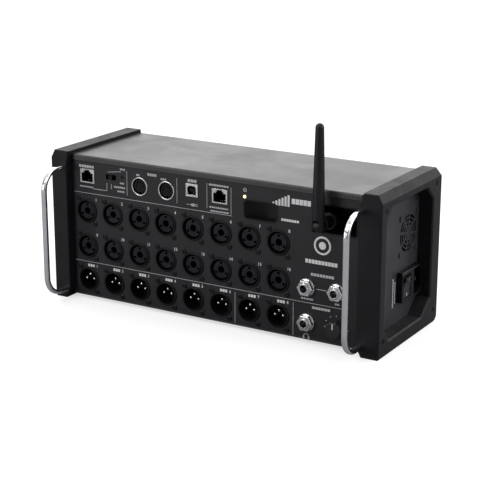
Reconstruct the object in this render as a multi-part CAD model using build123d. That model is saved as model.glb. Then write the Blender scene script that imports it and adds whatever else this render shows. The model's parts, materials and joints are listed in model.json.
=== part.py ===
from build123d import *
import math
import os

# Portable 18-input digital stagebox mixer: a steel chassis between two moulded end bumpers with bow handles,
# a front panel full of connectors, and an upright swivelling antenna.
# Millimetres. X runs to the right seen from the front, Y from the front to the back, Z up.
# The origin is the middle of the footprint, on the surface that the bumpers stand on.

# Overall driving dimensions
WIDTH = 333.0
DEPTH = 149.0
HEIGHT = 140.0
HANDLE_REACH = 31.0
SHEET = 1.5

FRONT_Y = -DEPTH / 2 + HANDLE_REACH
REAR_Y = DEPTH / 2
END_X = WIDTH / 2

# Chassis, a 3-unit high steel body held between the bumpers
BODY_HEIGHT = 133.4
BODY_Z0 = (HEIGHT - BODY_HEIGHT) / 2
BODY_Z1 = BODY_Z0 + BODY_HEIGHT
SIDE_X = 153.0
PANEL_Y = FRONT_Y + 8.0
PANEL_T = 2.0
BODY_REAR_Y = REAR_Y - 4.5
COVER_LIP = 5.0
WALL_IN = SIDE_X - SHEET
PANEL_BACK = PANEL_Y + PANEL_T

# Bumpers: x of the front lip's inner edge, of the top's inner edge and of the bow's inner face at each end
RIGHT_END = {"lip_x": 145.5, "top_x": 149.4, "bow_x": 147.0}
LEFT_END = {"lip_x": 149.8, "top_x": 146.8, "bow_x": 150.2}
FOOT_SLANT = 4.4
BEVEL_X = 4.0
BEVEL_Z = 7.3
EDGE_ROUND = 0.7
BUMPER_SCREWS = [(7.0, 125.7), (107.0, 128.0), (7.0, 14.5), (109.0, 12.6)]

# Bow handles
BOW_WIDTH = 5.0
BOW_THICK = 4.2
BOW_ROUND = 1.6
BOW_SCREW_R = 1.25
BOW_Z0 = 7.5
BOW_Z1 = 127.5
BOW_CORNER = 20.0

# Connector grid on the front panel
GRID_X0 = -133.4
GRID_PITCH = 28.65
GRID_COUNT = 8
ROW_UPPER_Z = 84.6
ROW_LOWER_Z = 51.3
ROW_OUTPUT_Z = 19.6
SHELL_R = 11.2
SHELL_BORE_R = 9.65
SHELL_PROUD = 1.0
FLANGE_X = 25.0
FLANGE_Z = 29.0
SCREW_DX = 9.0
SCREW_DZ = 11.2
JACK_BORE_R = 3.25
JACK_BORE_DEPTH = 22.0
INSERT_R = 8.2
PIN_CIRCLE_R = 4.0

# Port strip above the connector grid: x and z of each centre
REMOTE_PORT = (-131.8, 117.6)
NETWORK_PORT = (9.3, 117.2)
PORT_SIZE = (15.4, 12.8)
MODE_SWITCH = (-105.5, 119.4)
RESET_BUTTON = (-92.6, 121.0)
MIDI_SOCKETS = [(-74.2, 115.0), (-45.8, 115.0)]
USB_PORT = (-19.1, 118.8)
USB_SIZE = (12.2, 11.4)
POWER_LED = (34.2, 120.3)

# Jacks and volume control at the right
LINE_JACKS = [(94.7, 49.7), (123.0, 49.7)]
PHONES_JACK = (94.9, 18.6)
VOLUME = (123.3, 18.2)
KNOB_R = 7.5
KNOB_LENGTH = 6.7
SHAFT_PROUD = 6.3

# Antenna, its pocket in the panel and the scoop for its folded tip
ANTENNA_X = 111.7
ANTENNA_Z = 108.5
ELBOW_Y = FRONT_Y - 5.0
ANTENNA_TIP_Z = 194.0
BARREL_R = 5.3
ROD_R = 5.4
FORK_GAP = 2.6
COLLAR_R = 7.6
COLLAR_Y = (-31.0, -24.0)
WELL_WALL = 1.2
POCKET = (99.7, 141.5, 98.8, 124.4)
POCKET_DEPTH = 27.0
POCKET_CORNER = 2.7
SCOOP = (32.7, 66.7, 100.5, 118.5)
SCOOP_DEPTH = 11.0
SCOOP_CORNER = 5.0

# Power inlet module and fan on the right side wall
INLET = (17.6, 58.4, 30.2, 57.4)
INLET_PROUD = 5.5
INLET_DEPTH = 30.0
INLET_Z = (INLET[2] + INLET[3]) / 2
ROCKER_Y = 28.0
ROCKER_HALF_Y = 6.8
ROCKER_HALF_Z = 10.6
ROCKER_TILT = 8.0
SOCKET_Y = 49.0
SOCKET_HALF_Y = 7.7
SOCKET_HALF_Z = 11.8
FAN_Y = 38.0
FAN_Z = 87.8
FAN_SIZE = 40.0
FAN_DEPTH = 15.0

# Boards
BOARD_T = 1.6
CONNECTOR_BACK_Y = -12.0
DECK_Z = 11.5


def block(x0, x1, y0, y1, z0, z1):
    """Box between two corners."""
    centre = Pos((x0 + x1) / 2, (y0 + y1) / 2, (z0 + z1) / 2)
    return centre * Box(x1 - x0, y1 - y0, z1 - z0)


def rounded_block(x0, x1, y0, y1, z0, z1, r):
    """Box between two corners, rounded about Y."""
    shape = block(x0, x1, y0, y1, z0, z1)
    return fillet(shape.edges().filter_by(Axis.Y), r)


def bar_x(y, z, x0, x1, r):
    """Round bar along X."""
    return Pos((x0 + x1) / 2, y, z) * Rot(0, 90, 0) * Cylinder(r, x1 - x0)


def bar_y(x, z, y0, y1, r):
    """Round bar along Y."""
    return Pos(x, (y0 + y1) / 2, z) * Rot(90, 0, 0) * Cylinder(r, y1 - y0)


def bar_z(x, y, z0, z1, r):
    """Round bar along Z."""
    return Pos(x, y, (z0 + z1) / 2) * Cylinder(r, z1 - z0)


def hex_y(x, z, y0, y1, across_flats):
    """Hexagonal bar along Y."""
    face = Plane((x, y1, z), x_dir=(1, 0, 0), z_dir=(0, -1, 0)) * RegularPolygon(across_flats / 2, 6, major_radius=False)
    return extrude(face, y1 - y0)


def outline_x(points, x0, x1):
    """Solid with a straight-sided outline of (y, z) points, running along X."""
    edges = Polyline([(x0, y, z) for y, z in points], close=True)
    return extrude(make_face(edges), x1 - x0, dir=(1, 0, 0))


def outline_y(points, y0, y1):
    """Solid with a straight-sided outline of (x, z) points, running along Y."""
    edges = Polyline([(x, y0, z) for x, z in points], close=True)
    return extrude(make_face(edges), y1 - y0, dir=(0, 1, 0))


def mirrored(shape):
    """The same shape on the other side of the mixer."""
    return mirror(shape, about=Plane.YZ)


def save(name, *solids):
    """Writes one sub-part, made of one or more separate solids."""
    shape = solids[0] if len(solids) == 1 else Compound(children=list(solids))
    export_step(shape, f"parts/{name}.step")


def grid(row_z):
    """Centres of one row of connectors."""
    return [(GRID_X0 + i * GRID_PITCH, row_z) for i in range(GRID_COUNT)]


def screw_places(x, z):
    """The two diagonal screws of one panel connector."""
    return [(x - SCREW_DX, z + SCREW_DZ), (x + SCREW_DX, z - SCREW_DZ)]


def all_connectors():
    return grid(ROW_UPPER_Z) + grid(ROW_LOWER_Z) + grid(ROW_OUTPUT_Z)


def fan_slots():
    """Concentric arc slots punched through the right wall in front of the fan."""
    x0 = SIDE_X - SHEET - 1
    x1 = SIDE_X + 1
    rings = None
    for middle_r in (4.2, 8.0, 11.8, 15.2):
        ring = bar_x(FAN_Y, FAN_Z, x0, x1, middle_r + 1.15) - bar_x(FAN_Y, FAN_Z, x0, x1, middle_r - 1.15)
        rings = ring if rings is None else rings + ring
    for angle in (35, 80, 125, 170):
        spoke = Pos(SIDE_X, FAN_Y, FAN_Z) * Rot(angle, 0, 0) * Box(8, 40, 2.2)
        rings = rings - spoke
    return rings


def fan_screw_places():
    reach = 16.0
    return [(FAN_Y + a * reach, FAN_Z + b * reach) for a in (-1, 1) for b in (-1, 1)]


def chassis_tray():
    """Bottom and both side walls, folded from one sheet, with flanges for the cover's screws."""
    tray = block(-SIDE_X, SIDE_X, PANEL_Y, BODY_REAR_Y - SHEET, BODY_Z0, BODY_Z0 + SHEET)
    for side in (-1, 1):
        x0, x1 = sorted((side * SIDE_X, side * WALL_IN))
        tray += block(x0, x1, PANEL_Y, BODY_REAR_Y - SHEET, BODY_Z0, BODY_Z1 - SHEET)
        f0, f1 = sorted((side * WALL_IN, side * (WALL_IN - 9)))
        tray += block(f0, f1, -28, 62, BODY_Z1 - 2 * SHEET, BODY_Z1 - SHEET)
    tray += block(-140, 140, BODY_REAR_Y - 2 * SHEET, BODY_REAR_Y - SHEET, BODY_Z0, BODY_Z0 + 11)
    tray -= fan_slots()
    y0, y1, z0, z1 = INLET
    tray -= block(WALL_IN - 1, SIDE_X + 1, y0 + 1, y1 - 1, z0 + 1, z1 - 1)
    for y, z in fan_screw_places():
        tray -= bar_x(y, z, WALL_IN - 1, SIDE_X + 1, 1.6)
    slot_pitch = 7.5
    for i in range(9):
        y = FAN_Y - 34 + i * slot_pitch
        tray -= block(-SIDE_X - 1, -WALL_IN + 1, y, y + 3, 62, 112)
    for x, z in rear_screw_places():
        tray -= bar_y(x, z, BODY_REAR_Y - 4, BODY_REAR_Y, 1.3)
    return tray


def rear_screw_places():
    return [(x, BODY_Z0 + 7) for x in (-125, -62.5, 0, 62.5, 125)]


def top_cover():
    """Top and rear wall in one bent sheet, with a short lip over the front panel's top edge."""
    lip_y = PANEL_Y - SHEET
    top = block(-SIDE_X, SIDE_X, PANEL_Y, BODY_REAR_Y, BODY_Z1 - SHEET, BODY_Z1)
    top += block(-LEFT_END["top_x"], RIGHT_END["lip_x"] - 0.3, lip_y, PANEL_Y, BODY_Z1 - COVER_LIP, BODY_Z1)
    top += block(-WALL_IN, WALL_IN, BODY_REAR_Y - SHEET, BODY_REAR_Y, BODY_Z0 + SHEET, BODY_Z1 - SHEET)
    bends = [e for e in top.edges().filter_by(Axis.X)
             if e.length > 250 and abs(e.center().Z - BODY_Z1) < 0.01]
    top = fillet([e for e in bends if abs(e.center().Y - lip_y) < 0.01], 1.3)
    for x, z in rear_screw_places():
        top -= bar_y(x, z, BODY_REAR_Y - 4, BODY_REAR_Y + 1, 1.5)
    return top


def front_panel():
    """Flat panel with every connector cut-out."""
    edge = 0.1
    panel = block(-WALL_IN + edge, WALL_IN - edge, PANEL_Y, PANEL_BACK, BODY_Z0 + SHEET, BODY_Z1 - SHEET)
    y0 = PANEL_Y - 1
    y1 = PANEL_BACK + 1
    cuts = []
    for x, z in all_connectors():
        cuts.append(bar_y(x, z, y0, y1, SHELL_R + 0.15))
        cuts += [bar_y(sx, sz, y0, y1, 1.5) for sx, sz in screw_places(x, z)]
    for (x, z), (w, h) in ((REMOTE_PORT, PORT_SIZE), (NETWORK_PORT, PORT_SIZE), (USB_PORT, USB_SIZE)):
        cuts.append(block(x - w / 2, x + w / 2, y0, y1, z - h / 2, z + h / 2))
    x, z = MODE_SWITCH
    cuts.append(block(x - 5.5, x + 5.5, y0, y1, z - 2.4, z + 2.4))
    cuts.append(bar_y(*RESET_BUTTON, y0, y1, 1.7))
    cuts.append(bar_y(*POWER_LED, y0, y1, 1.5))
    cuts += [bar_y(x, z, y0, y1, 8.6) for x, z in MIDI_SOCKETS]
    cuts += [bar_y(x, z, y0, y1, 4.6) for x, z in LINE_JACKS + [PHONES_JACK]]
    cuts.append(bar_y(*VOLUME, y0, y1, 3.6))
    for (x0, x1, z0, z1), corner in ((POCKET, POCKET_CORNER), (SCOOP, SCOOP_CORNER)):
        cuts.append(rounded_block(x0, x1, y0, y1, z0, z1, corner))
    return panel - cuts


def bumper(end):
    """End bumper, drawn at the right: a moulded frame round the chassis end, open at the side, bevelled on top."""
    lip_x = end["lip_x"]
    profile = [(end["top_x"], HEIGHT), (END_X - BEVEL_X, HEIGHT), (END_X, HEIGHT - BEVEL_Z), (END_X, 1.2),
               (END_X - 1.2, 0), (lip_x + FOOT_SLANT, 0), (lip_x, 8), (lip_x, 127)]
    shape = outline_y(profile, FRONT_Y, REAR_Y)
    rear_cut = [(REAR_Y - 3.8, HEIGHT + 1), (REAR_Y - 3.8, HEIGHT), (REAR_Y, HEIGHT - 7.5),
                (REAR_Y + 1, HEIGHT - 7.5), (REAR_Y + 1, HEIGHT + 1)]
    foot_cut = [(REAR_Y - 5, -1), (REAR_Y - 5, 0), (REAR_Y, 4.5), (REAR_Y + 1, 4.5), (REAR_Y + 1, -1)]
    shape -= outline_x(rear_cut, WALL_IN - 10, END_X + 1)
    shape -= outline_x(foot_cut, WALL_IN - 10, END_X + 1)
    front = [e for e in shape.edges() if abs(e.center().Y - FRONT_Y) < 0.01]
    shape = chamfer(front, EDGE_ROUND)
    shape -= block(WALL_IN - 10, SIDE_X, PANEL_Y, BODY_REAR_Y, BODY_Z0, BODY_Z1)
    window = outline_x(window_points(0), SIDE_X - 1, END_X + 1)
    shape -= window
    shape -= loft([make_face(Polyline([(END_X - 1.2, y, z) for y, z in window_points(0)], close=True)),
                   make_face(Polyline([(END_X, y, z) for y, z in window_points(1.2)], close=True))])
    for y, z in BUMPER_SCREWS:
        shape -= bar_x(FRONT_Y + y, z, END_X - 11, END_X + 1, 1.55)
        shape -= bar_x(FRONT_Y + y, z, END_X - 1.6, END_X + 1, 2.9)
    for z in handle_screw_heights():
        shape -= bar_y(handle_x(end), z, FRONT_Y - 1, PANEL_Y + 1, BOW_SCREW_R + 0.25)
        shape -= bar_y(handle_x(end), z, PANEL_Y - 3.6, PANEL_Y + 1, 2.35)
    return shape


def window_points(grow):
    """Corners of the side window as (y, z), grown outwards by a bevel."""
    y0 = FRONT_Y + 10 - grow
    y1 = FRONT_Y + 102.5 + grow
    z0 = 12.6 - grow
    z1 = 127 + grow
    return [(y0 + 10, z0), (y1 - 17, z0), (y1, z0 + 13.5), (y1, z1 - 12), (y1 - 13, z1), (y0 + 10, z1),
            (y0, z1 - 11), (y0, z0 + 11)]


def handle_x(end):
    return end["bow_x"] + BOW_WIDTH / 2


def handle_screw_heights():
    return [BOW_Z0 + BOW_THICK / 2, BOW_Z1 - BOW_THICK / 2]


def handle(end):
    """Bow handle, drawn at the right: one bent bar whose ends butt against the bumper's front lip."""
    bow_x = end["bow_x"]
    outer_y = FRONT_Y - HANDLE_REACH
    length = 80.0
    middle_y = outer_y + length / 2
    middle_z = (BOW_Z0 + BOW_Z1) / 2
    plane = Plane((bow_x, middle_y, middle_z), x_dir=(0, 1, 0), z_dir=(1, 0, 0))
    tall = BOW_Z1 - BOW_Z0
    outer = plane * RectangleRounded(length, tall, BOW_CORNER)
    inner = plane * RectangleRounded(length - 2 * BOW_THICK, tall - 2 * BOW_THICK, BOW_CORNER - BOW_THICK)
    bow = extrude(outer - inner, BOW_WIDTH)
    bow -= block(bow_x - 1, bow_x + BOW_WIDTH + 1, FRONT_Y, FRONT_Y + 2 * length, 0, HEIGHT)
    long_edges = [e for e in bow.edges()
                  if abs(e.center().X - handle_x(end)) > BOW_WIDTH / 2 - 0.01
                  and abs(e.center().Y - FRONT_Y) > 0.01]
    bow = fillet(long_edges, BOW_ROUND)
    for z in handle_screw_heights():
        bow -= bar_y(handle_x(end), z, FRONT_Y - 9, FRONT_Y + 1, BOW_SCREW_R + 0.05)
    return bow


def bumper_screw(y, z):
    """Countersunk screw driven in from the side, its head just below the bumper's face."""
    screw = bar_x(y, z, END_X - 11, END_X - 1.5, 1.5) + bar_x(y, z, END_X - 1.55, END_X - 0.3, 2.75)
    return screw - block(END_X - 1.0, END_X + 1, y - 1.9, y + 1.9, z - 0.35, z + 0.35) \
        - block(END_X - 1.0, END_X + 1, y - 0.35, y + 0.35, z - 1.9, z + 1.9)


def handle_screw(end, z):
    x = handle_x(end)
    return bar_y(x, z, FRONT_Y - 8.5, PANEL_Y - 3.2, BOW_SCREW_R) + bar_y(x, z, PANEL_Y - 3.5, PANEL_Y - 0.3, 2.2)


def panel_screw(x, z):
    """Pan-head screw with a cross recess, on the front panel."""
    head = bar_y(x, z, PANEL_Y - 1.3, PANEL_Y, 2.3)
    head = chamfer(head.edges().group_by(Axis.Y)[0], 0.6)
    screw = head + bar_y(x, z, PANEL_Y - 0.1, PANEL_BACK + 3.5, 1.45)
    y0 = PANEL_Y - 1.4
    y1 = PANEL_Y - 0.6
    return screw - block(x - 1.5, x + 1.5, y0, y1, z - 0.3, z + 0.3) - block(x - 0.3, x + 0.3, y0, y1, z - 1.5, z + 1.5)


def cover_screw(x, z):
    return bar_y(x, z, BODY_REAR_Y - 5, BODY_REAR_Y + 0.1, 1.25) \
        + bar_y(x, z, BODY_REAR_Y, BODY_REAR_Y + 1.4, 2.7)


def connector_shell(x, z, back_y):
    """Panel connector housing: a ring through the panel, a flange behind it and a round can."""
    shell = bar_y(x, z, PANEL_Y - SHELL_PROUD, back_y, SHELL_R)
    rim = [e for e in shell.edges() if abs(e.center().Y - PANEL_Y + SHELL_PROUD) < 0.01]
    shell = chamfer(rim, 0.5)
    flange = block(x - FLANGE_X / 2, x + FLANGE_X / 2, PANEL_BACK, PANEL_BACK + 2,
                   z - FLANGE_Z / 2, z + FLANGE_Z / 2)
    shell += fillet(flange.edges().filter_by(Axis.Y), 2.5)
    for sx, sz in screw_places(x, z):
        shell -= bar_y(sx, sz, PANEL_BACK - 1, PANEL_BACK + 3, 1.5)
    return shell - bar_y(x, z, PANEL_Y - 3, back_y + 1, SHELL_BORE_R)


def combo_insert(x, z):
    """Core of a combination socket: a jack bore in the middle and three XLR contact holes round it."""
    face_y = PANEL_Y + 0.8
    step_y = PANEL_Y + 12
    core = bar_y(x, z, face_y, step_y, INSERT_R)
    core = chamfer(core.edges().group_by(Axis.Y)[0], 0.6)
    core += bar_y(x, z, step_y - 0.1, CONNECTOR_BACK_Y - 0.5, SHELL_BORE_R)
    core -= bar_y(x, z, face_y - 1, face_y + JACK_BORE_DEPTH, JACK_BORE_R)
    for angle in (90, 210, 330):
        px = x + 6.0 * math.cos(math.radians(angle))
        pz = z + 6.0 * math.sin(math.radians(angle))
        core -= bar_y(px, pz, face_y - 1, face_y + 10, 1.3)
    return core


def output_insert(x, z):
    """Floor of a male XLR cup, which carries the pins."""
    disc = bar_y(x, z, PANEL_Y + 13, CONNECTOR_BACK_Y - 0.5, SHELL_BORE_R)
    for px, pz in pin_places(x, z):
        disc -= bar_y(px, pz, PANEL_Y + 12, CONNECTOR_BACK_Y, 1.2)
    return disc


def pin_places(x, z):
    """Contacts at the left, top and right of the cup."""
    return [(x - PIN_CIRCLE_R, z), (x, z + PIN_CIRCLE_R), (x + PIN_CIRCLE_R, z)]


def output_pin(x, z):
    pin = bar_y(x, z, PANEL_Y + 1.8, CONNECTOR_BACK_Y, 1.2)
    return fillet(pin.edges().group_by(Axis.Y)[0], 0.8)


def jack_body(x, z):
    """Quarter-inch jack: threaded bushing through the panel and a box body behind it."""
    body = bar_y(x, z, PANEL_Y - 6.0, PANEL_BACK + 0.1, 4.5)
    front = [e for e in body.edges() if abs(e.center().Y - PANEL_Y + 6.0) < 0.01]
    body = chamfer(front, 0.5)
    body += block(x - 8, x + 8, PANEL_BACK, CONNECTOR_BACK_Y, z - 7.5, z + 7.5)
    return body - bar_y(x, z, PANEL_Y - 7, PANEL_Y - 6 + JACK_BORE_DEPTH, JACK_BORE_R)


def jack_nut(x, z):
    """Round dress nut with a wide collar and two spanner flats."""
    nut = bar_y(x, z, PANEL_Y - 1.2, PANEL_Y, 7.7)
    nut = chamfer(nut.edges().group_by(Axis.Y)[0], 0.5)
    nut += chamfer(hex_y(x, z, PANEL_Y - 4.8, PANEL_Y - 1.1, 13.0).edges().group_by(Axis.Y)[0], 0.6)
    return nut - bar_y(x, z, PANEL_Y - 6, PANEL_Y + 1, 4.55)


def midi_ring(x, z):
    """Round shielding ring with a rolled front edge."""
    ring = bar_y(x, z, PANEL_Y - 0.8, CONNECTOR_BACK_Y - 4, 8.5) - bar_y(x, z, PANEL_Y - 2, CONNECTOR_BACK_Y, 7.3)
    front = [e for e in ring.edges() if abs(e.center().Y - PANEL_Y + 0.8) < 0.01]
    return fillet(front, 0.5)


def midi_insert(x, z):
    """Round core with five contact holes on an arc and a keyway at the bottom."""
    face_y = PANEL_Y + 0.6
    core = bar_y(x, z, face_y, PANEL_Y + 12, 6.1) + bar_y(x, z, PANEL_Y + 11.9, CONNECTOR_BACK_Y - 4, 7.3)
    for angle in range(0, 181, 45):
        px = x + 3.9 * math.cos(math.radians(angle))
        pz = z + 3.9 * math.sin(math.radians(angle))
        core -= bar_y(px, pz, face_y - 1, face_y + 9, 0.8)
    return core - block(x - 1.1, x + 1.1, face_y - 1, face_y + 9, z - 7, z - 4.9)


def usb_shell(x, z):
    """Square metal shell with chamfered upper corners inside."""
    w, h = USB_SIZE
    shell = block(x - w / 2, x + w / 2, PANEL_Y - 0.5, CONNECTOR_BACK_Y - 4, z - h / 2, z + h / 2)
    hole = [(x - 4.3, z - 4), (x + 4.3, z - 4), (x + 4.3, z + 2.2), (x + 2.8, z + 3.9), (x - 2.8, z + 3.9),
            (x - 4.3, z + 2.2)]
    return shell - outline_y(hole, PANEL_Y - 2, CONNECTOR_BACK_Y - 6)


def usb_tongue(x, z):
    return block(x - 2.8, x + 2.8, PANEL_Y + 1.2, CONNECTOR_BACK_Y - 6, z - 1.7, z + 1.5)


def port_shell(x, z):
    """Shielded network socket: plain metal box, open at the front."""
    w, h = PORT_SIZE
    shell = block(x - w / 2, x + w / 2, PANEL_Y - 0.5, CONNECTOR_BACK_Y, z - h / 2, z + h / 2)
    return shell - port_mouth(x, z, PANEL_Y - 2, CONNECTOR_BACK_Y - 2, 0.8)


def port_mouth(x, z, y0, y1, grow):
    """Plug opening with the stepped latch notch at the top."""
    half = 5.5 + grow
    steps = [(x - half, z - 4.6 - grow), (x + half, z - 4.6 - grow), (x + half, z + 1.9 + grow),
             (x + 3.1 + grow, z + 1.9 + grow), (x + 3.1 + grow, z + 3.4 + grow), (x + 1.8 + grow, z + 3.4 + grow),
             (x + 1.8 + grow, z + 4.8 + grow), (x - 1.8 - grow, z + 4.8 + grow), (x - 1.8 - grow, z + 3.4 + grow),
             (x - 3.1 - grow, z + 3.4 + grow), (x - 3.1 - grow, z + 1.9 + grow), (x - half, z + 1.9 + grow)]
    return outline_y(steps, y0, y1)


def port_liner(x, z):
    """Moulded lining with the plug cavity."""
    liner = port_mouth(x, z, PANEL_Y - 0.3, CONNECTOR_BACK_Y - 2, 0.8)
    liner -= port_mouth(x, z, PANEL_Y - 2, CONNECTOR_BACK_Y - 6, 0)
    return liner


def port_contact(x, z):
    """One sprung contact wire at the bottom of the plug cavity."""
    y0 = PANEL_Y + 4
    y1 = CONNECTOR_BACK_Y - 6
    wire = [(y0, z - 4.5), (y0 + 0.5, z - 4.6), (y1, z - 3.0), (y1, z - 2.6), (y0 + 0.5, z - 4.2)]
    return outline_x(wire, x - 0.22, x + 0.22)


def mode_switch():
    """Slide switch body behind the panel with a slot for its lever."""
    x, z = MODE_SWITCH
    body = block(x - 9, x + 9, PANEL_BACK, PANEL_BACK + 6, z - 4.5, z + 4.5)
    return body - block(x - 5.4, x + 5.4, PANEL_BACK - 1, PANEL_BACK + 4, z - 2.3, z + 2.3)


def mode_lever():
    x, z = MODE_SWITCH
    y0 = PANEL_Y - 1.6
    lever = block(x - 2.0, x + 2.0, y0, PANEL_BACK + 3.9, z - 2.0, z + 2.0)
    for i in (-1, 0, 1):
        lever -= block(x + i * 1.3 - 0.25, x + i * 1.3 + 0.25, y0 - 1, y0 + 0.5, z - 3, z + 3)
    return lever


def reset_switch():
    x, z = RESET_BUTTON
    body = block(x - 3, x + 3, PANEL_BACK + 2.5, PANEL_BACK + 6, z - 3, z + 3)
    return body - bar_y(x, z, PANEL_BACK + 1, PANEL_BACK + 4.6, 1.45)


def reset_button():
    x, z = RESET_BUTTON
    return bar_y(x, z, PANEL_Y + 0.9, PANEL_BACK + 3.4, 1.4)


def power_led():
    x, z = POWER_LED
    lens = bar_y(x, z, PANEL_Y - 0.7, PANEL_BACK + 4, 1.48)
    front = [e for e in lens.edges() if abs(e.center().Y - PANEL_Y + 0.7) < 0.01]
    return fillet(front, 0.6) + bar_y(x, z, PANEL_BACK + 0.1, PANEL_BACK + 1.1, 1.7)


def volume_pot():
    """Potentiometer body and its threaded bushing, bored for the shaft."""
    x, z = VOLUME
    pot = block(x - 6.5, x + 6.5, PANEL_BACK, PANEL_BACK + 9, z - 6.5, z + 6.5)
    pot += bar_y(x, z, PANEL_Y - 3.5, PANEL_BACK + 0.1, 3.5)
    return pot - bar_y(x, z, PANEL_Y - 5, PANEL_BACK + 6, 3.05)


def volume_shaft():
    x, z = VOLUME
    return bar_y(x, z, PANEL_Y - SHAFT_PROUD, PANEL_BACK + 5.5, 3.0)


def volume_knob():
    """Short scalloped knob, hollow behind so that it clears the bushing."""
    x, z = VOLUME
    rear = PANEL_Y - 0.8
    front = rear - KNOB_LENGTH
    knob = bar_y(x, z, front, rear, KNOB_R)
    knob = chamfer(knob.edges().group_by(Axis.Y)[0], 0.9)
    grips = 10
    grip_r = 1.5
    grip_circle_r = KNOB_R + 0.9
    for i in range(grips):
        angle = 2 * math.pi * (i + 0.5) / grips
        knob -= bar_y(x + grip_circle_r * math.cos(angle), z + grip_circle_r * math.sin(angle),
                      front - 1, rear - 1.8, grip_r)
    knob -= bar_y(x, z, PANEL_Y - 4.3, PANEL_Y, 4.6)
    return knob - bar_y(x, z, PANEL_Y - SHAFT_PROUD, PANEL_Y, 3.0)


def antenna_pocket():
    """Moulded well for the antenna's jack, with rounded corners."""
    x0, x1, z0, z1 = POCKET
    back = PANEL_Y + POCKET_DEPTH
    well = rounded_block(x0, x1, PANEL_Y - 0.25, back + 1.5, z0, z1, POCKET_CORNER)
    well -= rounded_block(x0 + WELL_WALL, x1 - WELL_WALL, PANEL_Y - 2, back, z0 + WELL_WALL, z1 - WELL_WALL,
                          POCKET_CORNER - WELL_WALL)
    return well - bar_y(ANTENNA_X, ANTENNA_Z, back - 1, back + 3, 3.3)


def antenna_rest():
    """Moulded scoop that gives a finger room behind the folded antenna's tip, its floor curving up to the left."""
    x0, x1, z0, z1 = SCOOP
    back = PANEL_Y + SCOOP_DEPTH
    left = x0 + WELL_WALL
    right = x1 - WELL_WALL
    floor_x = x0 + 20
    dish = rounded_block(x0, x1, PANEL_Y - 0.25, back + WELL_WALL, z0, z1, SCOOP_CORNER)
    walls = Polyline((left, PANEL_Y), (left, PANEL_Y - 2), (right, PANEL_Y - 2), (right, back), (floor_x, back))
    rise = ThreePointArc((floor_x, back), (x0 + 8, back - 4.0), (left, PANEL_Y))
    hollow = extrude(make_face(walls + rise), z1 - z0, dir=(0, 0, 1))
    hollow = Pos(0, 0, z0) * hollow
    return dish - (hollow & rounded_block(left, right, PANEL_Y - 3, back + 1, z0 + WELL_WALL, z1 - WELL_WALL,
                                          SCOOP_CORNER - WELL_WALL))


def antenna_jack():
    """Coaxial bulkhead jack on the well's back wall."""
    back = PANEL_Y + POCKET_DEPTH
    jack = bar_y(ANTENNA_X, ANTENNA_Z, back - 11, back + 7, 3.15)
    jack += hex_y(ANTENNA_X, ANTENNA_Z, back - 2.2, back, 8.0)
    jack += hex_y(ANTENNA_X, ANTENNA_Z, back + 1.5, back + 4, 8.0)
    return jack - bar_y(ANTENNA_X, ANTENNA_Z, back - 12, back - 5, 2.2)


def antenna_base():
    """Swivelling barrel with a knurled collar, a knurled sleeve and the tongue of the elbow."""
    back = PANEL_Y + POCKET_DEPTH
    rear = back - 2.7
    shoulder_y = ELBOW_Y + 6.2
    barrel = bar_y(ANTENNA_X, ANTENNA_Z, shoulder_y, rear, BARREL_R)
    barrel = chamfer(barrel.edges(), 0.5)
    collar = bar_y(ANTENNA_X, ANTENNA_Z, *COLLAR_Y, COLLAR_R)
    barrel += chamfer(collar.edges(), 0.6)
    for count, circle_r, y0, y1 in ((16, BARREL_R + 0.2, rear - 9, rear + 1), (24, COLLAR_R + 0.2, -32, -23)):
        for i in range(count):
            angle = 2 * math.pi * i / count
            barrel -= bar_y(ANTENNA_X + circle_r * math.cos(angle), ANTENNA_Z + circle_r * math.sin(angle),
                            y0, y1, 0.5)
    barrel -= bar_y(ANTENNA_X, ANTENNA_Z, back - 13, rear + 1, 3.2)
    half = FORK_GAP - 0.3
    tongue = bar_x(ELBOW_Y, ANTENNA_Z, ANTENNA_X - half, ANTENNA_X + half, 4.9)
    tongue += block(ANTENNA_X - half, ANTENNA_X + half, ELBOW_Y, shoulder_y + 1, ANTENNA_Z - 4.6, ANTENNA_Z + 4.6)
    return barrel + tongue - bar_x(ELBOW_Y, ANTENNA_Z, ANTENNA_X - 7, ANTENNA_X + 7, 1.3)


def antenna_pin():
    return bar_x(ELBOW_Y, ANTENNA_Z, ANTENNA_X - 4.9, ANTENNA_X + 4.9, 1.3)


def antenna_rod():
    """Tapered rod with a rounded tip and a fork that turns round the base's tongue."""
    fork_top = ANTENNA_Z + 5.6
    tip_r = 3.6
    taper = Polyline((0, ANTENNA_Z), (ROD_R, ANTENNA_Z), (ROD_R, fork_top + 6), (tip_r, ANTENNA_TIP_Z - tip_r))
    dome = RadiusArc((tip_r, ANTENNA_TIP_Z - tip_r), (0, ANTENNA_TIP_Z), -tip_r)
    spine = Line((0, ANTENNA_TIP_Z), (0, ANTENNA_Z))
    section = Plane.XZ * make_face(taper + dome + spine)
    rod = Pos(ANTENNA_X, ELBOW_Y, 0) * revolve(section, Axis.Z)
    end = bar_x(ELBOW_Y, ANTENNA_Z, ANTENNA_X - ROD_R, ANTENNA_X + ROD_R, ROD_R)
    rod += end & bar_z(ANTENNA_X, ELBOW_Y, ANTENNA_Z - 7, ANTENNA_Z + 1, ROD_R)
    rod -= block(ANTENNA_X - FORK_GAP, ANTENNA_X + FORK_GAP, ELBOW_Y - 7, ELBOW_Y + 7, ANTENNA_Z - 7, fork_top)
    return rod - bar_x(ELBOW_Y, ANTENNA_Z, ANTENNA_X - 7, ANTENNA_X + 7, 1.36)


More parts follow.
